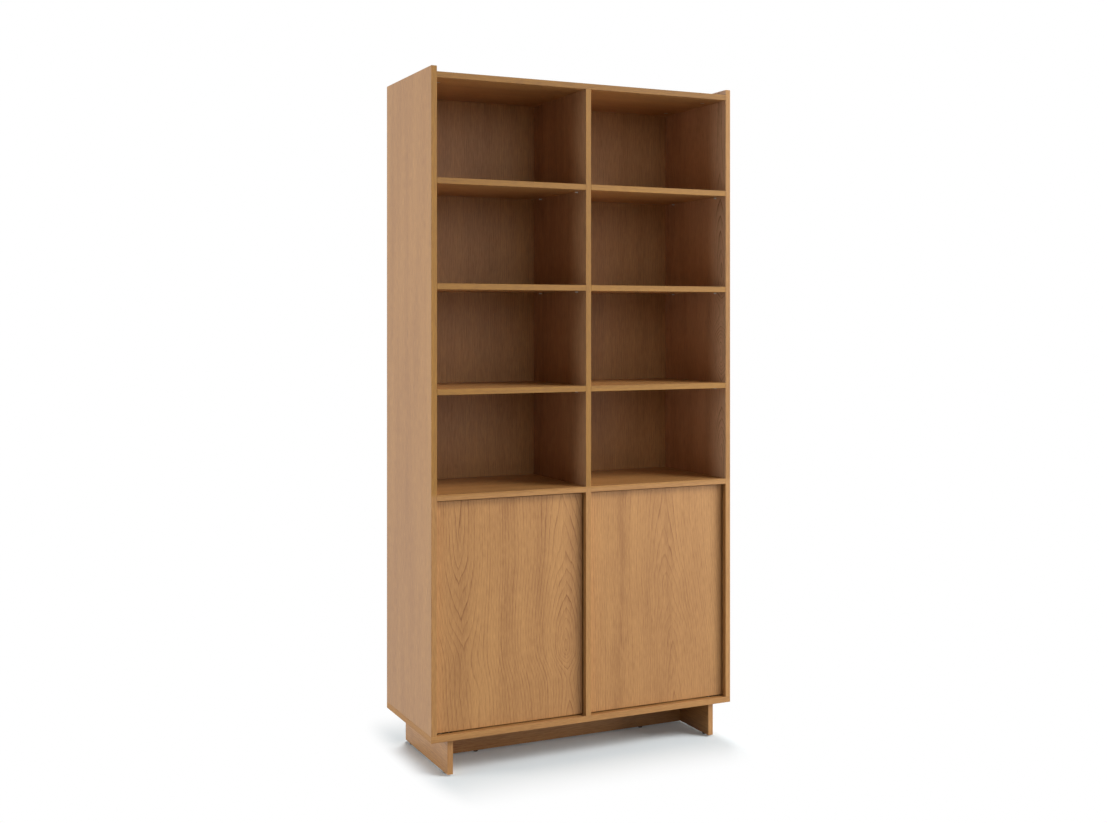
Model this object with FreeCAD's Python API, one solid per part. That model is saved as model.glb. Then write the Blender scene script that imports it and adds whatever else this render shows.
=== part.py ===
import FreeCAD, Part
import math
import os
from collections import namedtuple

from FreeCAD import Vector

# Bookcase: two bays of open compartments above two cupboards with push-to-open doors, on an H-shaped base.
# X runs from left to right, Y from the front edges to the back, Z up. The origin is on the floor under the
# middle of the bookcase. All sizes are in millimetres.

# ---- Driving dimensions ------------------------------------------------------------------------------------

# Carcass
WIDTH = 1000.0
DEPTH = 400.0
BOARD = 17.0                # every board but the bottom panel
BOTTOM_BOARD = 18.0
TIERS = 4                   # open compartments in each bay
TIER_CLEAR = 285.0          # clear height of one compartment
CUPBOARD_CLEAR = 670.0      # clear height behind a door
SIDE_LIP = 16.0             # the sides stand this far above the top panel
ARRIS = 0.5                 # chamfer on the boards' edges

# Back sheets in their grooves
BACK_SHEET = 6.0
BACK_INSET = 16.0           # from the boards' rear edges to the sheet
GROOVE_DEPTH = 5.0
GROOVE_CLEAR = 0.2          # on each side of the sheet
SHEET_EDGE_CLEAR = 0.5      # from the sheet's edge to the groove's bottom

# The divider's tongues in the top and bottom panels
HOUSING_DEPTH = 5.0
HOUSING_STOP = 12.0         # the housing stops this far behind the front edge
HOUSING_END_CLEAR = 0.5

# Shelves that lie on pins
SHELF_END_CLEAR = 0.5
SHELF_BACK_CLEAR = 1.0
CUPBOARD_SHELF_SETBACK = 60.0
PIN_DIAMETER = 5.0
PIN_TIP_CLEAR = 1.0         # from a pin's tip to the middle of its board
PIN_REACH = 8.0             # length of a pin that carries the shelf
PIN_INSET = 57.0            # from a shelf's front and rear edges
PIN_CLEAR = 0.2             # under the shelf

# Base
BASE_HEIGHT = 101.0
BASE_SIDE_INSET = 54.5      # from the carcass's side to the base panel's outer face
BASE_FRONT_INSET = 15.0
BASE_REAR_INSET = 20.0
STRETCHER_HOUSING = 5.0     # the stretcher's ends are let into the base panels
GLIDE_DIAMETER = 14.0
GLIDE_HEIGHT = 5.0
GLIDE_CHAMFER = 1.0
GLIDE_END_INSET = 36.0      # from a base panel's ends
STRETCHER_GLIDE_INSET = 143.5   # from a base panel's inner face

# Doors
DOOR_RECESS = 18.0
DOOR_GAP = 3.5
PIVOT_INSET = 15.0          # from the door's hinged edge to the pivot's axis
PIVOT_PIN_DIAMETER = 6.0
PIVOT_PIN_LENGTH = 10.0     # inside the door's bush
PIVOT_RUNNING_CLEAR = 0.05
PIVOT_END_CLEAR = 0.1       # between the plate's collar and the door's bush
BUSH_DIAMETER = 10.0
BUSH_LENGTH = 12.0
PLATE_WIDTH = 14.0
PLATE_THICKNESS = 2.5
PLATE_LENGTH = 46.0
PLATE_PIN_INSET = 9.0       # from the plate's end to the pivot's axis
PLATE_SCREW_INSET = 9.0     # from the plate's other end to its screw

# Push latches
LATCH_INSET = 40.0          # from the divider to the plunger's axis
LATCH_WIDTH = 16.0
LATCH_HEIGHT = 21.0
LATCH_LENGTH = 60.0
LATCH_AXIS_DROP = 12.5      # below the fixed shelf
LATCH_WALL = 4.0            # at the housing's closed end
LATCH_ROUND = 3.0
LUG_LENGTH = 12.0
LUG_THICKNESS = 3.0
PLUNGER_DIAMETER = 9.0
PLUNGER_RUNNING_CLEAR = 0.08
PLUNGER_STUB = 4.0          # that stands out of the housing while the door is shut
PLUNGER_NOSE = 1.5
PLUNGER_NOSE_DIAMETER = 6.0
PLUNGER_END_CLEAR = 1.0
STRIKE_DIAMETER = 14.0
STRIKE_THICKNESS = 1.5
STRIKE_CLEAR = 0.3

# Cam fittings, which hold a panel's end to a side
CAM_DIAMETER = 15.0
CAM_HEIGHT = 12.5
CAM_SETBACK = 34.0          # from the panel's end to the cam's axis
CAM_SLOT_LENGTH = 9.0
CAM_SLOT_WIDTH = 1.8
CAM_SLOT_DEPTH = 2.5
CAM_TUNNEL_CLEAR = 0.3      # around the bolt's rod
BOLT_THREAD_DIAMETER = 5.0
BOLT_THREAD_LENGTH = 11.0
BOLT_ROD_DIAMETER = 6.0
BOLT_PAST_CAM = 3.0         # the rod's end, beyond the cam's axis
FITTING_INSET = 84.0        # from the front and rear edges to the fittings

# Dowels through the divider
DOWEL_DIAMETER = 8.0
DOWEL_IN_SHELF = 14.0

# Carcass screws: flat head, then shank
CARCASS_SCREW_HEAD = 10.0
CARCASS_SCREW_HEAD_HEIGHT = 3.0
CARCASS_SCREW_SHANK = 6.2
CARCASS_SCREW_LENGTH = 50.0
CARCASS_SCREW_INSET = 60.0  # from a board's front and rear edges
BASE_SCREW_INSET = 50.0

# Wood screws: countersunk head, then shank
WOOD_SCREW_HEAD = 7.0
WOOD_SCREW_HEAD_HEIGHT = 2.0
WOOD_SCREW_SHANK = 3.5
WOOD_SCREW_LENGTH = 13.0

FASTENER_CLEAR = 0.1        # around a fastener in its hole
HIDDEN_SIDES = 8            # flat sides that stand for the round of small hidden pieces
PIN_SIDES = 12              # of shelf pins
SHOWN_SIDES = 16            # and of larger small pieces in view

# Wall brackets
BRACKET_WIDTH = 20.0
BRACKET_THICKNESS = 2.0
BRACKET_FOOT = 40.0
BRACKET_UPRIGHT = 14.0
BRACKET_INSET = 83.0        # from a side panel's inner face to the bracket's middle
BRACKET_SCREW_INSET = 10.0  # from the foot's front end
WALL_HOLE_DIAMETER = 5.0
WALL_HOLE_HEIGHT = 8.0      # above the top panel

# ---- Places that follow from them --------------------------------------------------------------------------

LEFT, RIGHT = -WIDTH / 2, WIDTH / 2
FRONT, REAR = -DEPTH / 2, DEPTH / 2
DIVIDER_FACE = BOARD / 2

BASE_TOP = GLIDE_HEIGHT + BASE_HEIGHT
CUPBOARD_FLOOR = BASE_TOP + BOTTOM_BOARD
FIXED_LOW = CUPBOARD_FLOOR + CUPBOARD_CLEAR
FIXED_TOP = FIXED_LOW + BOARD
TOP_LOW = FIXED_TOP + TIERS * TIER_CLEAR + (TIERS - 1) * BOARD
TOP_HIGH = TOP_LOW + BOARD
SIDE_TOP = TOP_HIGH + SIDE_LIP

PIN_SEAT = BOARD / 2 - PIN_TIP_CLEAR
SHEET_REAR = REAR - BACK_INSET
SHEET_FRONT = SHEET_REAR - BACK_SHEET
SHEET_BITE = GROOVE_DEPTH - SHEET_EDGE_CLEAR
SHELF_REAR = SHEET_FRONT - SHELF_BACK_CLEAR

DOOR_FRONT = FRONT + DOOR_RECESS
DOOR_BACK = DOOR_FRONT + BOARD
DOOR_LOW = CUPBOARD_FLOOR + DOOR_GAP
DOOR_HIGH = FIXED_LOW - DOOR_GAP
PIVOT_Y = DOOR_FRONT + BOARD / 2

BASE_FRONT = FRONT + BASE_FRONT_INSET
BASE_REAR = REAR - BASE_REAR_INSET
BASE_LEFT = LEFT + BASE_SIDE_INSET
BASE_RIGHT = RIGHT - BASE_SIDE_INSET

# Each bay: its name, the inner faces of its side panel and of the divider, and the way from side to divider.
BAYS = (
    ("left", LEFT + BOARD, -DIVIDER_FACE, 1),
    ("right", RIGHT - BOARD, DIVIDER_FACE, -1),
)

ALONG_X = Vector(1, 0, 0)
ALONG_Y = Vector(0, 1, 0)
UP = Vector(0, 0, 1)

# The outline of a turned piece: one step (diameter at its start, diameter at its end, length) after another,
# and the number of flat sides that stand for its round, or None where it is truly round.
Outline = namedtuple("Outline", "steps sides")


def rod(diameter, length):
    """One step of an even diameter."""
    return (diameter, diameter, length)


SHELF_PIN = Outline([rod(PIN_DIAMETER, PIN_SEAT + PIN_REACH)], PIN_SIDES)
CAM = Outline([rod(CAM_DIAMETER, CAM_HEIGHT)], SHOWN_SIDES)
BOLT_THREAD = rod(BOLT_THREAD_DIAMETER, BOLT_THREAD_LENGTH)
CAM_BOLT = Outline([BOLT_THREAD, rod(BOLT_ROD_DIAMETER, CAM_SETBACK + BOLT_PAST_CAM)], HIDDEN_SIDES)
DOWEL = Outline([rod(DOWEL_DIAMETER, BOARD + 2 * DOWEL_IN_SHELF)], HIDDEN_SIDES)
CARCASS_SCREW = Outline(
    [
        rod(CARCASS_SCREW_HEAD, CARCASS_SCREW_HEAD_HEIGHT),
        rod(CARCASS_SCREW_SHANK, CARCASS_SCREW_LENGTH - CARCASS_SCREW_HEAD_HEIGHT),
    ],
    HIDDEN_SIDES,
)
WOOD_SCREW = Outline(
    [
        (WOOD_SCREW_HEAD, WOOD_SCREW_SHANK, WOOD_SCREW_HEAD_HEIGHT),
        rod(WOOD_SCREW_SHANK, WOOD_SCREW_LENGTH - WOOD_SCREW_HEAD_HEIGHT),
    ],
    HIDDEN_SIDES,
)
GLIDE = Outline(
    [
        (GLIDE_DIAMETER - 2 * GLIDE_CHAMFER, GLIDE_DIAMETER, GLIDE_CHAMFER),
        rod(GLIDE_DIAMETER, GLIDE_HEIGHT - GLIDE_CHAMFER),
    ],
    SHOWN_SIDES,
)
STRIKE = Outline([rod(STRIKE_DIAMETER, STRIKE_THICKNESS)], SHOWN_SIDES)
BUSH = Outline([rod(BUSH_DIAMETER, BUSH_LENGTH)], SHOWN_SIDES)
BUSH_BORE = Outline([rod(PIVOT_PIN_DIAMETER, BUSH_LENGTH)], None)
PIVOT_PIN = Outline(
    [
        rod(BUSH_DIAMETER, DOOR_GAP - PIVOT_END_CLEAR),
        rod(PIVOT_PIN_DIAMETER, PIVOT_END_CLEAR + PIVOT_PIN_LENGTH),
    ],
    None,
)

# ---- Shapes and bookkeeping --------------------------------------------------------------------------------

pieces = {}     # node name: its solids
cuts = {}       # node name: what is cut from its solids


def add(node, solid):
    pieces.setdefault(node, []).append(solid)


def cut(node, tool):
    cuts.setdefault(node, []).append(tool)


def block(xs, ys, zs):
    """A box between two values on each axis, given in either order."""
    low = Vector(min(xs), min(ys), min(zs))
    return Part.makeBox(abs(xs[1] - xs[0]), abs(ys[1] - ys[0]), abs(zs[1] - zs[0]), low)


def is_along(edge, axis):
    ends = [vertex.Point for vertex in edge.Vertexes]
    return (ends[1] - ends[0]).cross(axis).Length < edge.Length / 2


def board(xs, ys, zs, eased_along=None):
    """A board with an arris on its edges along one axis, or on all its edges where no axis is given."""
    solid = block(xs, ys, zs)
    edges = [edge for edge in solid.Edges if eased_along is None or is_along(edge, eased_along)]
    return solid.makeChamfer(ARRIS, edges)


def turned(start, direction, outline):
    """A solid with the given outline, from a point along a direction."""
    solids = []
    height = 0.0
    for first, last, length in outline.steps:
        ends = [ring(first, height, outline.sides), ring(last, height + length, outline.sides)]
        solids.append(Part.makeLoft(ends, True, True))
        height += length
    solid = solids[0].multiFuse(solids[1:]).removeSplitter() if len(solids) > 1 else solids[0]
    solid.Placement = FreeCAD.Placement(start, FreeCAD.Rotation(UP, direction))
    return solid


def ring(diameter, height, sides):
    """A circle at a height, or the flat-sided ring whose corners lie on it."""
    centre = Vector(0, 0, height)
    if sides is None:
        return Part.Wire(Part.makeCircle(diameter / 2, centre))
    turns = [2 * math.pi * number / sides for number in range(sides + 1)]
    return Part.makePolygon([
        centre + Vector(math.cos(turn), math.sin(turn), 0) * (diameter / 2) for turn in turns
    ])


def hole(start, direction, outline, clear=FASTENER_CLEAR):
    """The hole for a turned piece: its own outline, grown all round and at its far end."""
    steps = [(first + 2 * clear, last + 2 * clear, length) for first, last, length in outline.steps]
    first, last, length = steps[-1]
    steps[-1] = (first, last, length + clear)
    return turned(start, direction, Outline(steps, outline.sides))


def fasten(node, start, direction, outline, through):
    """A turned fastener and its hole in each piece that it goes through."""
    add(node, turned(start, direction, outline))
    for other in through:
        cut(other, hole(start, direction, outline))


# ---- Carcass -----------------------------------------------------------------------------------------------

def groove(xs, zs):
    """The slot for a back sheet's edge."""
    return block(xs, (SHEET_FRONT - GROOVE_CLEAR, SHEET_REAR + GROOVE_CLEAR), zs)


def make_carcass():
    add("bottom_panel", board((LEFT, RIGHT), (FRONT, REAR), (BASE_TOP, CUPBOARD_FLOOR)))
    add("top_panel", board((LEFT + BOARD, RIGHT - BOARD), (FRONT, REAR), (TOP_LOW, TOP_HIGH), ALONG_X))
    make_divider()
    for bay, side, divider, inward in BAYS:
        outer = side - inward * BOARD
        add(f"{bay}_side_panel", board((outer, side), (FRONT, REAR), (CUPBOARD_FLOOR, SIDE_TOP)))
        make_back_sheet(bay, side, divider, inward)
        for y in (FRONT + CARCASS_SCREW_INSET, REAR - CARCASS_SCREW_INSET):
            start = Vector((outer + side) / 2, y, BASE_TOP)
            fasten("carcass_screws", start, UP, CARCASS_SCREW, ("bottom_panel", f"{bay}_side_panel"))
        for y in (FRONT + FITTING_INSET, REAR - FITTING_INSET):
            make_cam_fitting("top_panel", f"{bay}_side_panel", side, inward, y, TOP_LOW)


def make_divider():
    """The divider stands in stopped housings, so its tongues are notched at the front."""
    low = CUPBOARD_FLOOR - HOUSING_DEPTH
    high = TOP_LOW + HOUSING_DEPTH
    faces = (-DIVIDER_FACE, DIVIDER_FACE)
    housing_front = FRONT + HOUSING_STOP
    tongues = (low + HOUSING_END_CLEAR, high - HOUSING_END_CLEAR)
    add("centre_divider", board(faces, (FRONT, REAR), tongues, UP))
    cut("centre_divider", block(faces, (FRONT, housing_front), (low, CUPBOARD_FLOOR)))
    cut("centre_divider", block(faces, (FRONT, housing_front), (TOP_LOW, high)))
    cut("bottom_panel", block(faces, (housing_front, REAR), (low, CUPBOARD_FLOOR)))
    cut("top_panel", block(faces, (housing_front, REAR), (TOP_LOW, high)))


def make_back_sheet(bay, side, divider, inward):
    xs = (side - inward * SHEET_BITE, divider + inward * SHEET_BITE)
    zs = (CUPBOARD_FLOOR - SHEET_BITE, TOP_LOW + SHEET_BITE)
    add(f"{bay}_back_sheet", block(xs, (SHEET_FRONT, SHEET_REAR), zs))
    slot_xs = (side - inward * GROOVE_DEPTH, divider + inward * GROOVE_DEPTH)
    slot_zs = (CUPBOARD_FLOOR - GROOVE_DEPTH, TOP_LOW + GROOVE_DEPTH)
    for node in (f"{bay}_side_panel", "centre_divider", "top_panel", "bottom_panel"):
        cut(node, groove(slot_xs, slot_zs))


def make_cam_fitting(panel, side_panel, side, inward, y, panel_low):
    """A cam in the panel's underside grips a bolt that is screwed into the side."""
    bolt_z = panel_low + BOARD / 2
    cam_x = side + inward * CAM_SETBACK
    cam_foot = Vector(cam_x, y, panel_low)
    half_tunnel = BOLT_ROD_DIAMETER / 2 + CAM_TUNNEL_CLEAR
    half_slot = CAM_SLOT_WIDTH / 2
    tunnel = block(
        (cam_x - inward * CAM_DIAMETER, cam_x + inward * (BOLT_PAST_CAM + CAM_TUNNEL_CLEAR)),
        (y - half_tunnel, y + half_tunnel),
        (bolt_z - half_tunnel, bolt_z + half_tunnel),
    )
    slot = block(
        (cam_x - CAM_SLOT_LENGTH / 2, cam_x + CAM_SLOT_LENGTH / 2),
        (y - half_slot, y + half_slot),
        (panel_low, panel_low + CAM_SLOT_DEPTH),
    )
    add("cam_locks", turned(cam_foot, UP, CAM).cut([tunnel, slot]))
    cut(panel, hole(cam_foot, UP, CAM))

    start = Vector(side - inward * BOLT_THREAD_LENGTH, y, bolt_z)
    direction = ALONG_X * inward
    add("cam_bolts", turned(start, direction, CAM_BOLT))
    cut(panel, hole(start, direction, CAM_BOLT, 2 * FASTENER_CLEAR))
    cut(side_panel, hole(start - direction * FASTENER_CLEAR, direction, Outline([BOLT_THREAD], HIDDEN_SIDES)))


# ---- Shelves -----------------------------------------------------------------------------------------------

def make_fixed_shelf(bay, side, divider, inward):
    node = f"{bay}_fixed_shelf"
    add(node, board((side, divider), (FRONT, SHEET_FRONT), (FIXED_LOW, FIXED_TOP), ALONG_X))
    for y in (FRONT + FITTING_INSET, REAR - FITTING_INSET):
        make_cam_fitting(node, f"{bay}_side_panel", side, inward, y, FIXED_LOW)


def make_divider_dowels():
    """Dowels through the divider locate both fixed shelves."""
    nodes = ("left_fixed_shelf", "centre_divider", "right_fixed_shelf")
    for y in (FRONT + FITTING_INSET, REAR - FITTING_INSET):
        start = Vector(-DIVIDER_FACE - DOWEL_IN_SHELF, y, FIXED_LOW + BOARD / 2)
        fasten("divider_dowels", start, ALONG_X, DOWEL, nodes)


def make_loose_shelf(node, bay, side, divider, inward, front, low):
    """A shelf on four pins, two in the side panel and two in the divider."""
    xs = (side + inward * SHELF_END_CLEAR, divider - inward * SHELF_END_CLEAR)
    add(node, board(xs, (front, SHELF_REAR), (low, low + BOARD), ALONG_X))
    pin_z = low - PIN_CLEAR - PIN_DIAMETER / 2
    for y in (front + PIN_INSET, SHELF_REAR - PIN_INSET):
        in_side = Vector(side - inward * PIN_SEAT, y, pin_z)
        in_divider = Vector(divider + inward * PIN_SEAT, y, pin_z)
        fasten("shelf_pins", in_side, ALONG_X * inward, SHELF_PIN, (f"{bay}_side_panel",))
        fasten("shelf_pins", in_divider, ALONG_X * -inward, SHELF_PIN, ("centre_divider",))


def make_shelves():
    cupboard_shelf_low = (CUPBOARD_FLOOR + FIXED_LOW - BOARD) / 2
    for bay, side, divider, inward in BAYS:
        make_fixed_shelf(bay, side, divider, inward)
        for number in range(1, TIERS):
            low = FIXED_TOP + number * TIER_CLEAR + (number - 1) * BOARD
            make_loose_shelf(f"{bay}_shelf_{number}", bay, side, divider, inward, FRONT, low)
        make_loose_shelf(
            f"{bay}_cupboard_shelf", bay, side, divider, inward,
            FRONT + CUPBOARD_SHELF_SETBACK, cupboard_shelf_low,
        )
    make_divider_dowels()


# ---- Base --------------------------------------------------------------------------------------------------

def make_base():
    zs = (GLIDE_HEIGHT, BASE_TOP)
    stretcher_middle = (BASE_FRONT + BASE_REAR) / 2
    stretcher_ys = (stretcher_middle - BOARD / 2, stretcher_middle + BOARD / 2)
    stretcher_xs = (BASE_LEFT + BOARD - STRETCHER_HOUSING, BASE_RIGHT - BOARD + STRETCHER_HOUSING)
    add("base_stretcher", board(stretcher_xs, stretcher_ys, zs, ALONG_X))

    for bay, outer, inward in (("left", BASE_LEFT, 1), ("right", BASE_RIGHT, -1)):
        node = f"{bay}_base_panel"
        inner = outer + inward * BOARD
        middle = (outer + inner) / 2
        add(node, board((outer, inner), (BASE_FRONT, BASE_REAR), zs))
        stretcher_glide_x = inner + inward * STRETCHER_GLIDE_INSET
        add("floor_glides", turned(Vector(stretcher_glide_x, stretcher_middle, 0), UP, GLIDE))
        cut(node, block(stretcher_xs, stretcher_ys, zs))
        for y in (BASE_FRONT + GLIDE_END_INSET, BASE_REAR - GLIDE_END_INSET):
            add("floor_glides", turned(Vector(middle, y, 0), UP, GLIDE))
        for y in (BASE_FRONT + BASE_SCREW_INSET, BASE_REAR - BASE_SCREW_INSET):
            start = Vector(middle, y, CUPBOARD_FLOOR)
            fasten("carcass_screws", start, -UP, CARCASS_SCREW, ("bottom_panel", node))


# ---- Doors and latches -------------------------------------------------------------------------------------

def make_pivot(door, carrier, pivot_x, surface, into_door, inward):
    """A plate let into the carrier holds the pin that the door's bush turns on."""
    up = UP * into_door
    foot = Vector(pivot_x, PIVOT_Y, surface)
    plate_end = pivot_x - inward * PLATE_PIN_INSET
    plate = block(
        (plate_end, plate_end + inward * PLATE_LENGTH),
        (PIVOT_Y - PLATE_WIDTH / 2, PIVOT_Y + PLATE_WIDTH / 2),
        (surface - into_door * PLATE_THICKNESS, surface),
    )
    add("pivot_plates", plate.fuse(turned(foot, up, PIVOT_PIN)))
    cut(carrier, plate)
    screw_x = plate_end + inward * (PLATE_LENGTH - PLATE_SCREW_INSET)
    fasten("wood_screws", Vector(screw_x, PIVOT_Y, surface), -up, WOOD_SCREW, ("pivot_plates", carrier))

    bush_foot = foot + up * DOOR_GAP
    add(f"{door}_bushes", turned(bush_foot, up, BUSH).cut(hole(bush_foot, up, BUSH_BORE, PIVOT_RUNNING_CLEAR)))
    cut(door, hole(bush_foot, up, BUSH))


def make_latch(bay, divider, inward):
    """A plunger in a housing under the fixed shelf pushes on a strike plate on the door's back."""
    x = divider - inward * LATCH_INSET
    z = FIXED_LOW - LATCH_AXIS_DROP
    tip = DOOR_BACK + STRIKE_THICKNESS + STRIKE_CLEAR
    mouth = tip + PLUNGER_STUB
    rear = mouth + LATCH_LENGTH
    bore_end = rear - LATCH_WALL

    housing_xs = (x - LATCH_WIDTH / 2, x + LATCH_WIDTH / 2)
    housing = block(housing_xs, (mouth, rear), (FIXED_LOW - LATCH_HEIGHT, FIXED_LOW))
    lower_edges = [
        edge for edge in housing.Edges
        if is_along(edge, ALONG_Y) and edge.BoundBox.ZMax < z
    ]
    housing = housing.makeFillet(LATCH_ROUND, lower_edges)
    lug = block(housing_xs, (rear, rear + LUG_LENGTH), (FIXED_LOW - LUG_THICKNESS, FIXED_LOW))
    bore = Outline([rod(PLUNGER_DIAMETER, bore_end - mouth)], None)
    housing_bore = hole(Vector(x, mouth, z), ALONG_Y, bore, PLUNGER_RUNNING_CLEAR)
    add(f"{bay}_latch_housing", housing.fuse(lug).removeSplitter().cut(housing_bore))
    screw_at = Vector(x, rear + LUG_LENGTH / 2, FIXED_LOW - LUG_THICKNESS)
    fasten("wood_screws", screw_at, UP, WOOD_SCREW, (f"{bay}_latch_housing", f"{bay}_fixed_shelf"))

    plunger = Outline(
        [
            (PLUNGER_NOSE_DIAMETER, PLUNGER_DIAMETER, PLUNGER_NOSE),
            rod(PLUNGER_DIAMETER, bore_end - PLUNGER_END_CLEAR - tip - PLUNGER_NOSE),
        ],
        None,
    )
    add(f"{bay}_latch_plunger", turned(Vector(x, tip, z), ALONG_Y, plunger))
    add(f"{bay}_strike_plate", turned(Vector(x, DOOR_BACK, z), ALONG_Y, STRIKE))


def make_doors():
    for bay, side, divider, inward in BAYS:
        door = f"{bay}_door"
        hinged_edge = side + inward * DOOR_GAP
        free_edge = divider - inward * DOOR_GAP
        pivot_x = hinged_edge + inward * PIVOT_INSET
        add(door, board((hinged_edge, free_edge), (DOOR_FRONT, DOOR_BACK), (DOOR_LOW, DOOR_HIGH)))
        make_pivot(door, "bottom_panel", pivot_x, CUPBOARD_FLOOR, 1, inward)
        make_pivot(door, f"{bay}_fixed_shelf", pivot_x, FIXED_LOW, -1, inward)
        make_latch(bay, divider, inward)


# ---- Wall brackets -----------------------------------------------------------------------------------------

def make_wall_brackets():
    """Angle brackets let into the top panel, level with its rear edge, are screwed to the wall."""
    foot_low = TOP_HIGH - BRACKET_THICKNESS
    foot_front = REAR - BRACKET_FOOT
    for _, side, _, inward in BAYS:
        middle = side + inward * BRACKET_INSET
        low_x, high_x = middle - BRACKET_WIDTH / 2, middle + BRACKET_WIDTH / 2
        foot = block((low_x, high_x), (foot_front, REAR), (foot_low, TOP_HIGH))
        upright = block((low_x, high_x), (REAR - BRACKET_THICKNESS, REAR), (foot_low, TOP_HIGH + BRACKET_UPRIGHT))
        wall_hole = Part.makeCylinder(
            WALL_HOLE_DIAMETER / 2, BRACKET_THICKNESS,
            Vector(middle, REAR - BRACKET_THICKNESS, TOP_HIGH + WALL_HOLE_HEIGHT), ALONG_Y,
        )
        add("wall_brackets", foot.fuse(upright).removeSplitter().cut(wall_hole))
        recess_xs = (low_x - FASTENER_CLEAR, high_x + FASTENER_CLEAR)
        cut("top_panel", block(recess_xs, (foot_front - FASTENER_CLEAR, REAR), (foot_low, TOP_HIGH)))
        start = Vector(middle, foot_front + BRACKET_SCREW_INSET, TOP_HIGH)
        fasten("wood_screws", start, -UP, WOOD_SCREW, ("wall_brackets", "top_panel"))


# ---- Export ------------------------------------------------------------------------------------------------

def finished(node):
    """The node's solids with what is cut from them, as one shape."""
    solids = []
    for piece in pieces[node]:
        tools = [tool for tool in cuts.get(node, []) if tool.BoundBox.intersect(piece.BoundBox)]
        solids.extend((piece.cut(tools) if tools else piece).Solids)
    return solids[0] if len(solids) == 1 else Part.makeCompound(solids)


make_carcass()
make_shelves()
make_base()
make_doors()
make_wall_brackets()

os.makedirs("parts", exist_ok=True)
for node in sorted(pieces):
    finished(node).exportStep(f"parts/{node}.step")
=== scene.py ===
import math
from collections import namedtuple

import bmesh
import bpy
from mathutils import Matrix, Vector


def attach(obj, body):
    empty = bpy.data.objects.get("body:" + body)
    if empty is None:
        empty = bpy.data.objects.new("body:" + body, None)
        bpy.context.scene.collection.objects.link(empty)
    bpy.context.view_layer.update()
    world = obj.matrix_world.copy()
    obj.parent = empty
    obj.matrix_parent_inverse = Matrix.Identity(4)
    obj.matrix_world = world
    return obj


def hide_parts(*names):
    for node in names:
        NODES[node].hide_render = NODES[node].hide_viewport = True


# Looks of the bookcase: oak veneer on every board, and finer small parts in place of the plain CAD ones.
# Lengths are in metres, in the frame's own axes: X to the right, Y to the back, Z up.

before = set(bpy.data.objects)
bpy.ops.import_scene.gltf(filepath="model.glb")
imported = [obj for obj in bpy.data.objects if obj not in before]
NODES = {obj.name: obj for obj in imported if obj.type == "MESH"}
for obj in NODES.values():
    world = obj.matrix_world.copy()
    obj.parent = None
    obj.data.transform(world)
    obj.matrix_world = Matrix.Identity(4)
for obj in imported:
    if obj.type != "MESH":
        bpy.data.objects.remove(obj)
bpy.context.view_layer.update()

# ---- Camera ------------------------------------------------------------------------------------------------

CAMERA_PLACE = (-1.8352, -3.8429, 1.31308)
CAMERA_TURN = math.radians(-25.26)      # about the vertical, from looking straight at the front
SENSOR_WIDTH = 36.0                     # millimetres, as Blender keeps it
FOCAL_LENGTH = 44.236                   # millimetres
PICTURE_WIDTH = 1107                    # pixels
HORIZON_ABOVE_MIDDLE = 92.43            # pixels
SIGHT_LIMIT = 100.0                     # metres


def make_camera():
    data = bpy.data.cameras.new("camera")
    data.sensor_width = SENSOR_WIDTH
    data.lens = FOCAL_LENGTH
    data.shift_y = -HORIZON_ABOVE_MIDDLE / PICTURE_WIDTH
    data.clip_end = SIGHT_LIMIT
    camera = bpy.data.objects.new("camera", data)
    camera.location = CAMERA_PLACE
    camera.rotation_euler = (math.pi / 2, 0.0, CAMERA_TURN)
    bpy.context.scene.collection.objects.link(camera)
    bpy.context.scene.camera = camera


# ---- Shader graphs -----------------------------------------------------------------------------------------

NOISE_WAY = (1.0, 1.7, -2.3)    # the direction in which a noise is moved


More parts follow.
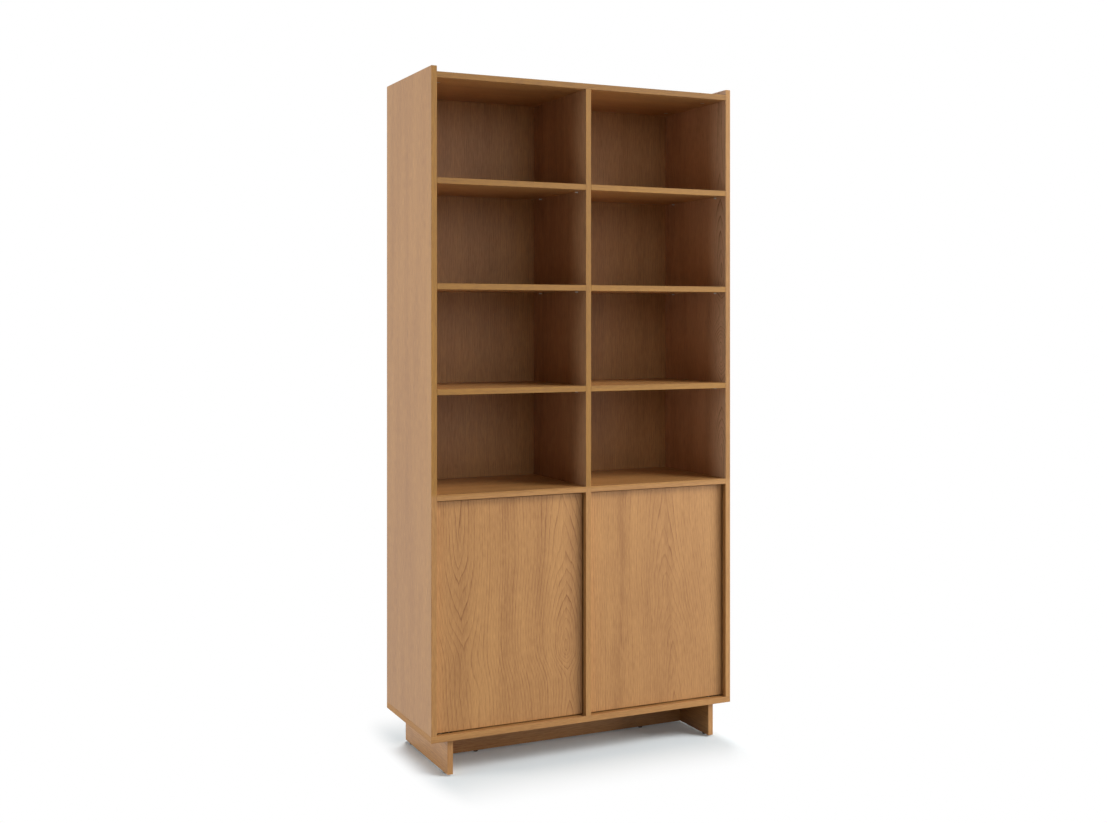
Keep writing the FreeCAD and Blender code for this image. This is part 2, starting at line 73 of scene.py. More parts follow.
class Graph:
    """A node tree, written as calls that take numbers or other nodes' outputs."""

    def __init__(self, tree):
        self.tree = tree
        self.tree.nodes.clear()

    def node(self, kind, inputs=None, **settings):
        made = self.tree.nodes.new(kind)
        for name, value in settings.items():
            setattr(made, name, value)
        for key, value in (inputs or {}).items():
            if isinstance(value, bpy.types.NodeSocket):
                self.tree.links.new(value, made.inputs[key])
            else:
                made.inputs[key].default_value = value
        return made

    def math(self, operation, *values, clamp=False):
        made = self.node("ShaderNodeMath", dict(enumerate(values)), operation=operation, use_clamp=clamp)
        return made.outputs[0]

    def add(self, *values):
        total = values[0]
        for value in values[1:]:
            total = self.math("ADD", total, value)
        return total

    def times(self, first, second):
        return self.math("MULTIPLY", first, second)

    def minus(self, first, second):
        return self.math("SUBTRACT", first, second)

    def vector(self, x, y, z):
        return self.node("ShaderNodeCombineXYZ", {0: x, 1: y, 2: z}).outputs[0]

    def parts(self, vector):
        return self.node("ShaderNodeSeparateXYZ", {0: vector}).outputs

    def noise(self, point, scales, shift, detail=2.0):
        """Smooth noise from -1 to 1, with its own scale on each axis; the shift moves it to its own place."""
        moved = tuple(shift * share for share in NOISE_WAY)
        scaled = self.node("ShaderNodeVectorMath", {0: point, 1: scales, 2: moved}, operation="MULTIPLY_ADD")
        made = self.node("ShaderNodeTexNoise", {"Vector": scaled.outputs[0], "Scale": 1.0, "Detail": detail})
        return self.math("MULTIPLY_ADD", made.outputs["Fac"], 2.0, -1.0)

    def curve(self, value, low, high, first=0.0, last=1.0, smooth=True):
        """A value mapped from one range to another, and kept inside it."""
        made = self.node(
            "ShaderNodeMapRange",
            {"Value": value, "From Min": low, "From Max": high, "To Min": first, "To Max": last},
            interpolation_type="SMOOTHSTEP" if smooth else "LINEAR",
        )
        return made.outputs[0]

    def profile(self, value, points):
        """A smooth curve through (value, height) points."""
        made = self.node("ShaderNodeFloatCurve", {"Value": value})
        made.mapping.use_clip = False
        curve = made.mapping.curves[0]
        for place, height in points[len(curve.points):]:
            curve.points.new(place, height)
        for point, location in zip(curve.points, points):
            point.location = location
        made.mapping.update()
        return made.outputs[0]

    # A mix node's inputs and output: 2, 3 and 0 for numbers, 4, 5 and 1 for vectors, 6, 7 and 2 for colours

    def mix_colour(self, share, first, second):
        first, second = (
            value if isinstance(value, bpy.types.NodeSocket) else (*value, 1.0) for value in (first, second)
        )
        made = self.node(
            "ShaderNodeMix", {"Factor": share, 6: first, 7: second}, data_type="RGBA", clamp_factor=False,
        )
        return made.outputs[2]

    def mix_value(self, share, first, second):
        return self.node("ShaderNodeMix", {"Factor": share, 2: first, 3: second}).outputs[0]

    def mix_vector(self, share, first, second):
        made = self.node("ShaderNodeMix", {"Factor": share, 4: first, 5: second}, data_type="VECTOR")
        return made.outputs[1]


def new_material(name):
    material = bpy.data.materials.new(name)
    material.use_nodes = True
    return material, Graph(material.node_tree)


def finish_material(g, settings):
    shader = g.node("ShaderNodeBsdfPrincipled", settings)
    g.node("ShaderNodeOutputMaterial", {"Surface": shader.outputs[0]})


# ---- Oak veneer --------------------------------------------------------------------------------------------

# Colours at tone 0 and at tone 1
OAK_LIGHT = (0.500, 0.253, 0.084)
OAK_DARK = (0.270, 0.110, 0.029)
PALE_LIGHT = (0.620, 0.400, 0.260)      # greyer, paler colours, which the faces of some boards lean towards
PALE_DARK = (0.330, 0.190, 0.115)
EDGE_LIGHT = (0.360, 0.168, 0.022)      # the banding on the boards' edges is yellower and darker
EDGE_DARK = (0.195, 0.082, 0.009)
MEAN_TONE = 0.345               # what each board's own tone is added to
TONE_RANGE = (-0.7, 1.3)        # the tone may go somewhat past both colours
CUPBOARD_TOP = (0.800, 0.818)   # heights between which a board changes from its lower look to its upper one
FACING_LIMIT = 0.6              # how squarely a face looks along an axis, from 0 to 1

# The tone's own noise, coarse to fine: cycles per metre across, through and along the board, detail, amount
TONE_NOISE = (
    ((6.0, 30.0, 0.8), 1.0, 0.26),
    ((17.0, 40.0, 1.4), 1.0, 0.44),
    ((28.0, 40.0, 9.0), 2.0, 0.16),
    ((140.0, 140.0, 8.0), 2.0, 0.20),
    ((430.0, 430.0, 38.0), 2.0, 0.78),
)

# Pores: short dark strokes along the grain, more of them on the ring lines
PORE_NOISE = (1700.0, 1100.0, 70.0)
PORE_STEP = (0.10, 0.45)        # noise at which a pore starts, and at which it is full
PORES_ON_LINES = 0.8
PORES_ELSEWHERE = 0.4
PORE_AMOUNT = 0.16              # tone
PORE_MEAN = 0.15                # what the pores come to on average, which is taken off the tone

# Flecks: small dark marks here and there
FLECK_NOISE = (70.0, 70.0, 22.0)
FLECK_STEP = (0.45, 0.70)
FLECK_AMOUNT = 0.30             # tone

# What moves a ring line from its smooth place: cycles per metre as above, detail, rings
RING_NOISE = (
    ((5.0, 40.0, 1.6), 1.0, 1.8),
    ((24.0, 60.0, 4.0), 2.0, 0.50),
    ((150.0, 90.0, 30.0), 2.0, 0.09),
)
EDGE_RINGS = (190.0, 260.0)     # rings per metre across and through the board, on its edges
TIP_WIDTH = 0.012               # half the width over which a figure's tips are drawn out
BOOST_WIDTH = 0.050             # half the width over which a figure strengthens the ring lines

# A ring line across one ring, as shares of the ring
LINE_RISE = 0.07
LINE_SHARP_END = 0.26
LINE_SOFT_END = 0.85
LINE_SHARP_SHARE = 0.75
LINE_STRENGTHS = (0.35, 1.0)    # from the faintest ring to the strongest
LINE_MEAN = 0.105               # what the lines come to on average, which is taken off the tone
LINE_GAPS = ((70.0, 70.0, 7.0), 2.0, 1.2)   # where along its length a line is strong or faint
LINE_GAP_MEAN = 0.80
LINE_GAP_LEAST = 0.1

# Broad dark bands along a board, veneer streaks on the doors and painted shade towards the back of the bays'
# walls: how they wander across the board, in metres, and what breaks them up into patches
DARK_BAND_WANDER = ((3.0, 3.0, 3.0), 0.02)
DARK_BAND_PATCHES = ((55.0, 55.0, 9.0), 1.0, 1.5)

# How far past a board's seed each of its noises lies
TONE_SHIFT = (5.0, 3.1)         # of the first layer, and from each layer to the next
RING_SHIFT = 1.9                # from each layer to the next
GAP_SHIFT = 7.7
PORE_SHIFT = 11.0
FLECK_SHIFT = 17.0
WANDER_SHIFT = 31.0
PATCH_SHIFT = 37.0

OAK_ROUGHNESS = 0.42
PORE_ROUGHNESS = 0.12           # added in the pores
EDGE_ROUGHNESS = 0.20           # added on the banding
OAK_BUMP = 0.22
OAK_RELIEF = 0.0002             # depth of a pore in metres
LINE_RELIEF = 0.35              # a ring line's depth as a share of a pore's

# One stack of vees or arches in a veneer.
#   share: how many of the veneer's rings it has, above 0 for vees, which point down, or below 0 for arches
#   axis: (height, place across) of the middle of the stack
#   depth: (height, how far below the cut the tree's middle lies); ovals close round its lowest places
#   tip: how many rings the tips are drawn out by
#   boost: how much stronger the ring lines are here
Figure = namedtuple("Figure", "share axis depth tip boost")
LEFT_VEES = Figure(
    1,
    ((0.0, -0.370), (0.23, -0.379), (0.34, -0.391), (0.45, -0.403), (0.60, -0.411), (0.80, -0.416)),
    ((0.0, 0.090), (0.232, 0.077), (0.335, 0.069), (0.406, 0.062), (0.487, 0.054), (0.561, 0.046),
     (0.615, 0.038), (0.690, 0.031), (0.80, 0.018)),
    tip=0.7, boost=0.15,
)
LEFT_FLAME = Figure(
    -0.95,
    ((0.0, -0.050), (0.205, -0.056), (0.345, -0.067), (0.45, -0.065), (0.60, -0.066), (0.80, -0.082)),
    ((0.0, 0.007), (0.128, 0.018), (0.205, 0.034), (0.250, 0.037), (0.290, 0.026), (0.325, 0.008),
     (0.380, 0.020), (0.439, 0.040), (0.495, 0.055), (0.544, 0.066), (0.594, 0.076), (0.716, 0.090),
     (0.80, 0.098)),
    tip=0.6, boost=0.15,
)
RIGHT_ARCHES = Figure(
    -1,
    ((0.0, 0.312), (0.208, 0.304), (0.306, 0.302), (0.421, 0.292), (0.557, 0.277), (0.80, 0.270)),
    ((0.0, 0.004), (0.208, 0.020), (0.306, 0.028), (0.359, 0.036), (0.390, 0.044), (0.421, 0.052),
     (0.510, 0.060), (0.557, 0.068), (0.80, 0.085)),
    tip=0.5, boost=0.35,
)
SIDE_FLAME = Figure(
    -1,
    ((0.80, -0.172), (1.10, -0.176), (1.25, -0.170), (1.42, -0.178), (1.60, -0.170), (2.03, -0.172)),
    ((0.80, 0.004), (0.88, 0.010), (1.06, 0.048), (1.12, 0.044), (1.205, 0.006), (1.335, 0.056),
     (1.44, 0.017), (1.56, 0.030), (1.73, 0.052), (2.03, 0.060)),
    tip=0.3, boost=1.2,
)

# How one board's veneer looks.
#   seed: where in the noise this board lies
#   rings: per metre across the board, where the grain is straight
#   figures: the stacks of vees and arches
#   lean: how many of the rings are counted straight across the board, besides the figures' own
#   lines: strength of the ring lines
#   texture: strength of all the tone's own noise
#   streaks: (place across, half width, amount) of dark bands along the board, veneer streaks on the doors and
#       painted shade towards the back of the bays' walls
#   tone: added to the mean tone on the faces
#   pale: share of the greyer, paler colours; a pale board is plain below the cupboards' top
#   plain_side: 1 or -1 where a pale board is plain on the face that looks up or down its third axis, or 0
#   banding: share of the banding's own colours on the edges, below and above the cupboards' top
#   edge_tone: added to the mean tone on the edges, below and above the cupboards' top
Veneer = namedtuple(
    "Veneer", "seed rings figures lean lines texture streaks tone pale plain_side banding edge_tone",
)
PLAIN = Veneer(
    seed=0.0, rings=135.0, figures=(), lean=1.0, lines=0.44, texture=0.80, streaks=(), tone=0.02, pale=0.0,
    plain_side=0.0, banding=(0.25, 1.0), edge_tone=(0.02, 0.02),
)
FIRST_SEED = 20.0               # for the boards that have no seed of their own, in the order of their names
SEED_STEP = 3.7
BOARD_LOOKS = {     # where a board isn't plain
    "left_door": dict(
        seed=1.0, figures=(LEFT_VEES, LEFT_FLAME), lean=-1.0, lines=0.85, tone=0.0, texture=0.85,
        streaks=((-0.240, 0.030, 0.18), (-0.405, 0.035, 0.08)),
    ),
    "right_door": dict(
        seed=4.0, figures=(RIGHT_ARCHES,), lean=0.0, lines=0.55, tone=0.0, texture=0.75,
        streaks=((0.122, 0.026, 0.26), (0.270, 0.045, 0.14)),
    ),
    # Its dark band towards the back is painted shade in the left bay's rear corner.
    "centre_divider": dict(
        streaks=((0.17, 0.12, 0.24),), tone=0.16, pale=0.45, plain_side=1.0, edge_tone=(-0.10, -0.02),
    ),
    # Its dark band towards the back is painted shade in the right bay's rear corner.
    "right_side_panel": dict(
        figures=(SIDE_FLAME,), lean=0.0, lines=0.75, streaks=((0.17, 0.13, 0.24),), tone=-0.32, pale=0.75,
        plain_side=1.0, banding=(0.25, 0.5), edge_tone=(-0.22, -0.02),
    ),
    "top_panel": dict(edge_tone=(0.34, 0.34)),
    "bottom_panel": dict(edge_tone=(-0.04, -0.04)),
    # The base stretcher's darker tone, on faces and edges, is painted shade: it stands set back under the
    # bottom panel, where shade falls.
    "base_stretcher": dict(tone=0.38, edge_tone=(0.38, 0.38)),
    "left_base_panel": dict(banding=(0.0, 0.0), edge_tone=(-0.06, -0.06)),
    "right_base_panel": dict(banding=(0.0, 0.0), edge_tone=(-0.08, -0.08)),
    "left_shelf_3": dict(edge_tone=(0.22, 0.22)),
    "right_shelf_3": dict(edge_tone=(0.10, 0.10)),
}


def oak_point(g, across, along):
    """A point as (across, through, along) the board, 1 where it is on an edge, and how far it faces through.

    The end faces are turned, so that their grain runs along them.
    """
    axes = "XYZ"
    through = (set(axes) - {across, along}).pop()
    coordinates = g.node("ShaderNodeTexCoord")
    place = g.parts(coordinates.outputs["Object"])
    facing = g.parts(coordinates.outputs["Normal"])
    u, w, v = (place[axes.index(axis)] for axis in (across, through, along))
    is_end = g.math("GREATER_THAN", g.math("ABSOLUTE", facing[axes.index(along)]), FACING_LIMIT)
    is_side = g.math("GREATER_THAN", g.math("ABSOLUTE", facing[axes.index(across)]), FACING_LIMIT)
    point = g.mix_vector(is_end, g.vector(u, w, v), g.vector(w, v, u))
    return point, g.math("MAXIMUM", is_end, is_side), facing[axes.index(through)]


def bell(g, offset):
    """1 in the middle, falling off to 0 on both sides."""
    return g.math("EXPONENT", g.times(g.times(offset, offset), -1.0))


def figure_rings(g, u, v, figure, rings_per_metre):
    """The rings that one stack of vees or arches adds, with its tips drawn out."""
    offset = g.minus(u, g.profile(v, figure.axis))
    depth = g.profile(v, figure.depth)
    arm = g.math("SQRT", g.add(g.times(offset, offset), g.times(depth, depth)))
    tip = g.math("EXPONENT", g.times(g.math("ABSOLUTE", offset), -1 / TIP_WIDTH))
    drawn = -math.copysign(figure.tip, figure.share)
    return g.times(arm, figure.share * rings_per_metre), g.times(tip, drawn)


def ring_count(g, point, is_edge, veneer):
    """How many growth rings lie between the veneer's edge and a point."""
    u, w, v = g.parts(point)
    rings = g.times(u, veneer.lean * veneer.rings)
    for figure in veneer.figures:
        rings = g.add(rings, *figure_rings(g, u, v, figure, veneer.rings))
    on_edge = g.add(g.times(u, EDGE_RINGS[0]), g.times(w, EDGE_RINGS[1]))
    rings = g.mix_value(is_edge, rings, on_edge)
    for number, (scales, detail, amount) in enumerate(RING_NOISE):
        moved = g.noise(point, scales, veneer.seed + RING_SHIFT * number, detail)
        rings = g.add(rings, g.times(moved, amount))
    return rings


def figure_boost(g, point, veneer):
    """How strong the ring lines are, from 1 in straight grain up to more in the figures."""
    u, _, v = g.parts(point)
    boost = 1.0
    for figure in veneer.figures:
        offset = g.times(g.minus(u, g.profile(v, figure.axis)), 1 / BOOST_WIDTH)
        boost = g.add(boost, g.times(bell(g, offset), figure.boost))
    return boost


def ring_line(g, point, rings, seed):
    """Dark where one ring ends and the next starts, with its own strength for each ring."""
    phase = g.math("FRACT", rings)
    number = g.add(g.math("FLOOR", rings), seed)
    draw = g.node("ShaderNodeTexWhiteNoise", {"W": number}, noise_dimensions="1D").outputs["Value"]
    strength = g.curve(draw, 0.0, 1.0, *LINE_STRENGTHS, smooth=False)
    scales, detail, amount = LINE_GAPS
    gaps = g.math("MULTIPLY_ADD", g.noise(point, scales, seed + GAP_SHIFT, detail), amount, LINE_GAP_MEAN)
    rise = g.curve(phase, 0.0, LINE_RISE)
    sharp = g.curve(phase, LINE_RISE, LINE_SHARP_END, 1.0, 0.0)
    soft = g.curve(phase, LINE_RISE, LINE_SOFT_END, 1.0, 0.0)
    fall = g.add(g.times(sharp, LINE_SHARP_SHARE), g.times(soft, 1.0 - LINE_SHARP_SHARE))
    return g.times(g.times(rise, fall), g.times(strength, g.math("MAXIMUM", gaps, LINE_GAP_LEAST)))


def streak_and_shade_tone(g, point, veneer):
    """How much darker a board is in its broad dark bands: veneer streaks, and painted shade towards the back
    of the bays' walls.
    """
    scales, amount = DARK_BAND_WANDER
    wander = g.times(g.noise(point, scales, veneer.seed + WANDER_SHIFT), amount)
    u = g.add(g.parts(point)[0], wander)
    scales, detail, amount = DARK_BAND_PATCHES
    patches = g.noise(point, scales, veneer.seed + PATCH_SHIFT, detail)
    patches = g.math("MAXIMUM", g.math("MULTIPLY_ADD", patches, amount, 1.0), 0.0)
    tone = 0.0
    for place, half_width, amount in veneer.streaks:
        offset = g.times(g.minus(u, place), 1 / half_width)
        tone = g.add(tone, g.times(bell(g, offset), amount))
    return g.times(tone, patches)


def own_look(g, above, facing, veneer):
    """A board's own tone and pale share on its faces, which a pale board has only above the cupboards."""
    if not veneer.pale:
        return veneer.tone, 0.0
    own = above
    if veneer.plain_side:
        is_plain = g.math("GREATER_THAN", g.times(facing, veneer.plain_side), FACING_LIMIT)
        own = g.math("SUBTRACT", above, is_plain, clamp=True)
    tone = g.math("MULTIPLY_ADD", own, veneer.tone - PLAIN.tone, PLAIN.tone)
    return tone, g.times(own, veneer.pale)


def grain_tone(g, point, line, pores, veneer):
    """The tone of the grain itself: ring lines, pores, flecks, streaks and noise, about the mean tone."""
    flecks = g.noise(point, FLECK_NOISE, veneer.seed + FLECK_SHIFT, detail=1.0)
    tone = g.add(MEAN_TONE, g.times(pores, PORE_AMOUNT), g.times(line, veneer.lines))
    tone = g.add(tone, g.times(g.curve(flecks, *FLECK_STEP), FLECK_AMOUNT), streak_and_shade_tone(g, point, veneer))
    tone = g.minus(tone, LINE_MEAN * veneer.lines + PORE_MEAN * PORE_AMOUNT)
    first, step = TONE_SHIFT
    for number, (scales, detail, amount) in enumerate(TONE_NOISE):
        layer = g.noise(point, scales, veneer.seed + first + step * number, detail)
        tone = g.add(tone, g.times(layer, veneer.texture * amount))
    return tone


def oak_colour(g, tone, is_edge, facing, veneer):
    """The veneer's colour on the faces and the banding's on the edges."""
    height = g.parts(g.node("ShaderNodeTexCoord").outputs["Object"])[2]
    above = g.curve(height, *CUPBOARD_TOP)
    face_tone, pale = own_look(g, above, facing, veneer)
    tone = g.add(tone, g.mix_value(is_edge, face_tone, g.mix_value(above, *veneer.edge_tone)))
    tone = g.node("ShaderNodeClamp", {"Value": tone, "Min": TONE_RANGE[0], "Max": TONE_RANGE[1]}).outputs[0]
    plain = g.mix_colour(tone, OAK_LIGHT, OAK_DARK)
    banding = g.mix_value(above, *veneer.banding)
    edge = g.mix_colour(banding, plain, g.mix_colour(tone, EDGE_LIGHT, EDGE_DARK))
    face = g.mix_colour(pale, plain, g.mix_colour(tone, PALE_LIGHT, PALE_DARK))
    return g.mix_colour(is_edge, face, edge)


def oak(name, across, along, veneer):
    """Satin oak veneer whose grain runs along one axis of the board's own space."""
    material, g = new_material(name)
    point, is_edge, facing = oak_point(g, across, along)
    line = ring_line(g, point, ring_count(g, point, is_edge, veneer), veneer.seed)
    line = g.times(line, figure_boost(g, point, veneer))
    pores = g.curve(g.noise(point, PORE_NOISE, veneer.seed + PORE_SHIFT), *PORE_STEP)
    pores = g.times(pores, g.math("MULTIPLY_ADD", line, PORES_ON_LINES, PORES_ELSEWHERE))
    tone = grain_tone(g, point, line, pores, veneer)
    height = g.add(g.times(pores, -1.0), g.times(line, -LINE_RELIEF))
    bump = g.node("ShaderNodeBump", {"Strength": OAK_BUMP, "Distance": OAK_RELIEF, "Height": height})
    finish_material(g, {
        "Base Color": oak_colour(g, tone, is_edge, facing, veneer),
        "Roughness": g.add(OAK_ROUGHNESS, g.times(pores, PORE_ROUGHNESS), g.times(is_edge, EDGE_ROUGHNESS)),
        "Normal": bump.outputs[0],
    })
    return material


def set_material(node, material):
    mesh = NODES[node].data
    mesh.materials.clear()
    mesh.materials.append(material)


def grain_axes(node):
    """The axes across and along the grain, or nothing where the node isn't oak."""
    if node.endswith(("_door", "_back_sheet")):
        return "X", "Z"
    if node.endswith("_side_panel") or node == "centre_divider":
        return "Y", "Z"
    if node.endswith("_base_panel"):
        return "Z", "Y"
    if node == "base_stretcher":
        return "Z", "X"
    if "shelf" in node and node != "shelf_pins" or node in ("top_panel", "bottom_panel"):
        return "Y", "X"
    return None


def dress_boards():
    for number, node in enumerate(sorted(NODES)):
        axes = grain_axes(node)
        if axes:
            own = {"seed": FIRST_SEED + SEED_STEP * number, **BOARD_LOOKS.get(node, {})}
            set_material(node, oak(f"oak_{node}", *axes, PLAIN._replace(**own)))


# ---- Metal and plastic -------------------------------------------------------------------------------------

FITTING_RELIEF = 0.00005        # metres
CLOUD_STEP = (-0.6, 0.6)        # noise at which a darker patch starts, and at which it is full

# A fitting's surface.
#   grain: cycles per metre, shift and detail of the fine marks
#   clouds: cycles per metre and shift of the darker patches
#   shade: the darker patches' colour as a share of the fitting's, and the most that there is of it
#   bump: strength of the fine marks' relief
#   uneven: how far the marks move the roughness
Surface = namedtuple("Surface", "grain clouds shade bump uneven")
TUMBLED = Surface((900.0, 1.0, 3.0), (120.0, 5.0), (0.7, 0.25), bump=0.15, uneven=0.08)
SPARKED = Surface((2200.0, 3.0, 1.0), (90.0, 8.0), (0.75, 0.3), bump=0.25, uneven=0.06)


def fitting_material(name, colour, roughness, surface, metallic):
    material, g = new_material(name)
    point = g.node("ShaderNodeTexCoord").outputs["Object"]
    scale, shift, detail = surface.grain
    marks = g.noise(point, (scale, scale, scale), shift, detail)
    scale, shift = surface.clouds
    clouds = g.noise(point, (scale, scale, scale), shift)
    darker, most = surface.shade
    shaded = tuple(darker * value for value in colour)
    bump = g.node("ShaderNodeBump", {"Strength": surface.bump, "Distance": FITTING_RELIEF, "Height": marks})
    finish_material(g, {
        "Base Color": g.mix_colour(g.curve(clouds, *CLOUD_STEP, 0.0, most), colour, shaded),
        "Metallic": metallic,
        "Roughness": g.math("MULTIPLY_ADD", marks, surface.uneven, roughness),
        "Normal": bump.outputs[0],
    })
    return material


def metal(name, colour, roughness):
    """Satin plate with faint tumbling marks."""
    return fitting_material(name, colour, roughness, TUMBLED, metallic=1.0)


def plastic(name, colour, roughness):
    """Moulded plastic with a fine sparked texture."""
    return fitting_material(name, colour, roughness, SPARKED, metallic=0.0)


def dress_fittings():
    nickel = metal("nickelled_steel", (0.66, 0.64, 0.60), 0.30)
    zinc = metal("zinc_plate", (0.58, 0.60, 0.62), 0.38)
    brass = metal("brass", (0.72, 0.50, 0.20), 0.32)
    bronzed = metal("bronzed_steel", (0.15, 0.11, 0.075), 0.42)
    black = plastic("black_plastic", (0.012, 0.012, 0.013), 0.5)
    grey = plastic("grey_plastic", (0.42, 0.42, 0.41), 0.45)
    beech = oak("beech", "Y", "X", PLAIN._replace(seed=90.0, tone=-0.3, edge_tone=(-0.3, -0.3)))
    finishes = {
        "shelf_pins": nickel, "cam_locks": nickel, "cam_bolts": nickel, "carcass_screws": zinc,
        "wood_screws": nickel, "pivot_plates": bronzed, "wall_brackets": zinc, "floor_glides": black,
        "divider_dowels": beech,
    }
    for side in ("left", "right"):
        finishes[f"{side}_strike_plate"] = nickel
        finishes[f"{side}_door_bushes"] = brass
        finishes[f"{side}_latch_housing"] = grey
        finishes[f"{side}_latch_plunger"] = grey
    for node, material in finishes.items():
        set_material(node, material)
    return finishes


# ---- Turned fittings ---------------------------------------------------------------------------------------

TURNED_SIDES = 48
SHARP_ANGLE = math.radians(35)
WELD = 1e-6                     # metres


class Turned:
    """Round parts in one mesh, each built about its own axis."""

    def __init__(self, name):
        self.name = name
        self.shape = bmesh.new()

    def ring(self, start, along, distance, radius_at):
        """Points about the axis; the radius is a number or depends on the angle."""
        across = along.orthogonal().normalized()
        over = along.cross(across)
        points = []
        for number in range(TURNED_SIDES):
            angle = math.tau * number / TURNED_SIDES
            radius = radius_at(angle) if callable(radius_at) else radius_at
            aside = across * math.cos(angle) + over * math.sin(angle)
            points.append(self.shape.verts.new(start + along * distance + aside * radius))
        return points

    def skin(self, rings):
        """A closed surface through rings of points, in their order."""
        for first, second in zip(rings, rings[1:]):
            for number in range(TURNED_SIDES):
                after = (number + 1) % TURNED_SIDES
                self.shape.faces.new((first[number], second[number], second[after], first[after]))
        self.shape.faces.new(rings[0])
        self.shape.faces.new(list(reversed(rings[-1])))

    def add(self, start, along, steps):
        """A closed part from (distance, radius) steps along its axis."""
        self.skin([self.ring(start, along, distance, radius) for distance, radius in steps])

    def finish(self, material, slot, body, *replaced):
        bmesh.ops.recalc_face_normals(self.shape, faces=self.shape.faces)
        mesh = bpy.data.meshes.new(self.name)
        self.shape.to_mesh(mesh)
        self.shape.free()
        mesh.materials.append(material)
        mesh.set_sharp_from_angle(angle=SHARP_ANGLE)
        mesh.polygons.foreach_set("use_smooth", [True] * len(mesh.polygons))
        piece = bpy.data.objects.new(self.name, mesh)
        bpy.context.scene.collection.objects.link(piece)
        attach(piece, body)
        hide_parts(*replaced)


def solids(node):
    """The corners of each separate solid in a CAD node."""
    shape = bmesh.new()
    shape.from_mesh(NODES[node].data)
    bmesh.ops.remove_doubles(shape, verts=shape.verts, dist=WELD)
    left = set(shape.verts)
    found = []
    while left:
        group, todo = [], [left.pop()]
        while todo:
            corner = todo.pop()
            group.append(corner.co.copy())
            near = {edge.other_vert(corner) for edge in corner.link_edges} & left
            left -= near
            todo.extend(near)
        found.append(group)
    shape.free()
    return sorted(found, key=lambda group: tuple(min(group, key=tuple)))


def box_of(group):
    low = Vector([min(corner[axis] for corner in group) for axis in range(3)])
    high = Vector([max(corner[axis] for corner in group) for axis in range(3)])
    return low, high


def wide_end(group, axis):
    """+1 where the solid is widest at its high end along an axis, and -1 where at its low end."""
    low, high = box_of(group)
    middle = (low + high) / 2
    widest = max(group, key=lambda corner: (corner - middle).length_squared - (corner - middle)[axis] ** 2)
    return 1 if widest[axis] > middle[axis] else -1


def head_and_axis(group, axis, end):
    """The middle of a solid's face at one end, and the direction from there into the solid."""
    low, high = box_of(group)
    start = (low + high) / 2
    start[axis] = high[axis] if end > 0 else low[axis]
    along = Vector((0.0, 0.0, 0.0))
    along[axis] = -end
    return start, along


def cross_outline(length, half_width):
    """The outline of a cross recess, as a radius at each angle."""
    def radius(angle):
        aside = abs((angle + math.pi / 4) % (math.pi / 2) - math.pi / 4)
        if math.tan(aside) * length <= half_width:
            return length / math.cos(aside)
        return half_width / math.sin(aside)
    return radius


def add_driven(turned, start, along, steps, recess, depth):
    """A turned part whose first face has a cross recess."""
    floor = [size * share for size, share in zip(recess, RECESS_FLOOR)]
    turned.skin([
        turned.ring(start, along, depth, cross_outline(*floor)),
        turned.ring(start, along, 0.0, cross_outline(*recess)),
        *(turned.ring(start, along, distance, radius) for distance, radius in steps),
    ])


BAY_MIDDLE = 0.2375             # from the bookcase's middle to each bay's

# Each fitting's steps, as (distance, radius) from its showing end
PIN_STEPS = (   # a domed tip, a waisted neck, and the part that stands in the board
    (0.0000, 0.0012), (0.0002, 0.0018), (0.0006, 0.0022), (0.0012, 0.0025), (0.0024, 0.0025),
    (0.0028, 0.0022), (0.0032, 0.0020), (0.0055, 0.0020), (0.0059, 0.0022), (0.0063, 0.0025),
    (0.0155, 0.0025),
)
SCREW_STEPS = ((0.0, 0.0033), (0.0002, 0.0035), (0.0020, 0.00175), (0.0105, 0.00175), (0.0130, 0.0005))
SCREW_RECESS = (0.0021, 0.0005)         # a cross recess's reach and half its arms' width
BOLT_STEPS = (
    (0.0, 0.0044), (0.0004, 0.0050), (0.0030, 0.0050), (0.0030, 0.0031), (0.0480, 0.0031), (0.0500, 0.0012),
)
BOLT_RECESS = (0.0030, 0.0008)
RECESS_FLOOR = (0.55, 0.7)              # how much smaller both are at the recess's floor
RECESS_DEPTH = 0.0014
GLIDE_STEPS = (
    (0.0, 0.0050), (0.0002, 0.0060), (0.0006, 0.0066), (0.0012, 0.0070), (0.0040, 0.0070), (0.0044, 0.0068),
    (0.0050, 0.0067),
)


def make_pins(material):
    pins = Turned("shelf_pin_set")
    for group in solids("shelf_pins"):
        low, high = box_of(group)
        middle = (low.x + high.x) / 2
        bay = math.copysign(BAY_MIDDLE, middle)
        end = 1 if bay > middle else -1
        pins.add(*head_and_axis(group, 0, end), PIN_STEPS)
    pins.finish(material, "nickelled_steel", "carcass", "shelf_pins")


def make_driven(name, node, steps, recess, material, slot):
    """One node's screws, whose heads have cross recesses."""
    fittings = Turned(name)
    for group in solids(node):
        start, along = head_and_axis(group, 2, wide_end(group, 2))
        add_driven(fittings, start, along, steps, recess, RECESS_DEPTH)
    fittings.finish(material, slot, "carcass", node)


def make_glides(material):
    glides = Turned("floor_glide_set")
    for group in solids("floor_glides"):
        glides.add(*head_and_axis(group, 2, -1), GLIDE_STEPS)
    glides.finish(material, "black_plastic", "carcass", "floor_glides")


def make_turned(finishes):
    nickel = finishes["wood_screws"]
    zinc = finishes["carcass_screws"]
    make_pins(finishes["shelf_pins"])
    make_driven("wood_screw_set", "wood_screws", SCREW_STEPS, SCREW_RECESS, nickel, "nickelled_steel")
    make_driven("carcass_screw_set", "carcass_screws", BOLT_STEPS, BOLT_RECESS, zinc, "zinc_steel")
    make_glides(finishes["floor_glides"])


# ---- Studio ------------------------------------------------------------------------------------------------

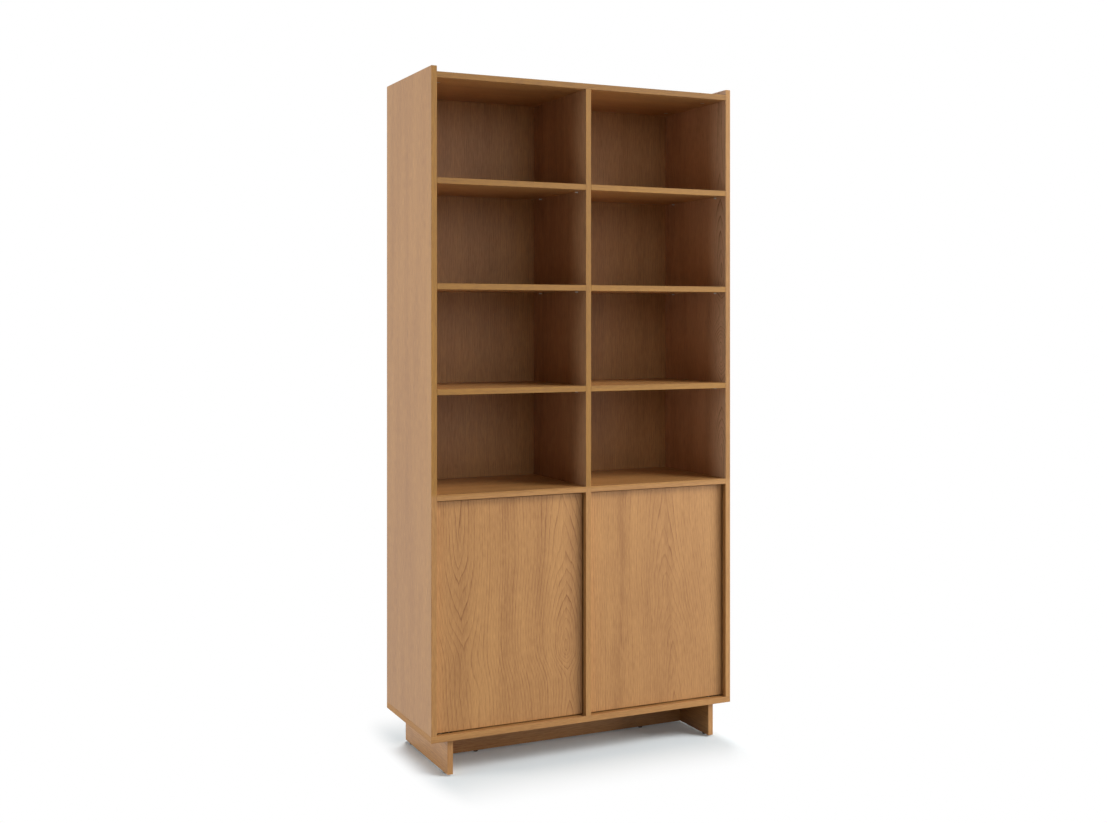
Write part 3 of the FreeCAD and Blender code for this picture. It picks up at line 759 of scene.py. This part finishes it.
NEVER_MATT = 0.5                # a ray that has met no matt surface has a diffuse depth below this
FLOOR_RADIUS = 30.0
FLOOR_SIDES = 64
FLOOR_WHITE = 0.40              # what the floor throws back onto the object
FLOOR_SHOWN = (0.90, 0.97, 1.0, 1.0)    # the floor in the shadow, a little cool against the wood's warm light
FOOT_HALF = (0.4455, 0.185)     # half the base's width and depth
SIDE_FADE = 3.0                 # how much sooner the floor fades to white at the sides
WHITE_AT = 0.30                 # how far from the base the floor has faded to plain white
WHITE_UNDER = 0.04              # share of plain white under the object
LAMP_AIM = (0.0, 0.0, 1.0)      # about the bookcase's middle
Lamp = namedtuple("Lamp", "name place size power")      # metres and watts
LAMPS = (
    Lamp("key", (6.8, -3.6, 1.7), 3.2, 439.0),
    Lamp("high", (4.4, -4.8, 6.2), 3.2, 455.0),
    Lamp("front", (0.2, -8.0, 3.6), 3.2, 80.0),
    Lamp("side", (-6.4, 0.4, 1.8), 4.0, 285.0),
    Lamp("rear", (2.0, 4.6, 5.6), 3.2, 400.0),
)
WORLD_LIGHT = 0.01              # of the white background on matt surfaces, where 1 is how it is seen


def seen_directly(g):
    """1 for rays from the camera, straight or by way of a reflection, that have met no matt surface."""
    path = g.node("ShaderNodeLightPath").outputs
    seen = g.math("MAXIMUM", path["Is Camera Ray"], path["Is Glossy Ray"])
    seen = g.math("MAXIMUM", seen, path["Is Transmission Ray"])
    return g.times(seen, g.math("LESS_THAN", path["Diffuse Depth"], NEVER_MATT))


def make_world():
    world = bpy.data.worlds.new("studio")
    world.use_nodes = True
    bpy.context.scene.world = world
    g = Graph(world.node_tree)
    strength = g.curve(seen_directly(g), 0.0, 1.0, WORLD_LIGHT, 1.0, smooth=False)
    background = g.node("ShaderNodeBackground", {"Color": (1.0, 1.0, 1.0, 1.0), "Strength": strength})
    g.node("ShaderNodeOutputWorld", {"Surface": background.outputs[0]})


def grey(level):
    return (level, level, level, 1.0)


def distance_from_base(g):
    """How far a point of the floor is from the base, with what is beside the base counted as farther."""
    place = g.parts(g.node("ShaderNodeTexCoord").outputs["Object"])
    beside, before = (
        g.math("MAXIMUM", g.minus(g.math("ABSOLUTE", value), half), 0.0)
        for value, half in zip(place, FOOT_HALF)
    )
    beside = g.times(beside, SIDE_FADE)
    return g.math("SQRT", g.add(g.times(beside, beside), g.times(before, before)))


def make_floor():
    mesh = bpy.data.meshes.new("floor")
    shape = bmesh.new()
    bmesh.ops.create_circle(shape, cap_ends=True, segments=FLOOR_SIDES, radius=FLOOR_RADIUS)
    shape.to_mesh(mesh)
    shape.free()
    floor = bpy.data.objects.new("floor", mesh)
    bpy.context.scene.collection.objects.link(floor)
    material, g = new_material("floor")
    far = g.curve(distance_from_base(g), 0.0, WHITE_AT, WHITE_UNDER, 1.0)
    base = g.node("ShaderNodeBsdfDiffuse", {"Color": grey(FLOOR_WHITE)}).outputs[0]
    near = g.node("ShaderNodeBsdfDiffuse", {"Color": FLOOR_SHOWN}).outputs[0]
    white = g.node("ShaderNodeEmission", {"Strength": 1.0}).outputs[0]
    shown = g.node("ShaderNodeMixShader", {0: far, 1: near, 2: white}).outputs[0]
    whole = g.node("ShaderNodeMixShader", {0: seen_directly(g), 1: base, 2: shown}).outputs[0]
    g.node("ShaderNodeOutputMaterial", {"Surface": whole})
    mesh.materials.append(material)


def make_lamps():
    for lamp in LAMPS:
        data = bpy.data.lights.new(lamp.name, "AREA")
        data.shape = "SQUARE"
        data.size = lamp.size
        data.energy = lamp.power
        light = bpy.data.objects.new(lamp.name, data)
        light.location = lamp.place
        aim = Vector(LAMP_AIM) - Vector(lamp.place)
        light.rotation_euler = aim.to_track_quat("-Z", "Y").to_euler()
        light.visible_camera = False
        bpy.context.scene.collection.objects.link(light)


# ---- Build -------------------------------------------------------------------------------------------------

dress_boards()
make_turned(dress_fittings())
make_camera()
make_world()
make_floor()
make_lamps()
bpy.context.scene.view_settings.view_transform = "Standard"
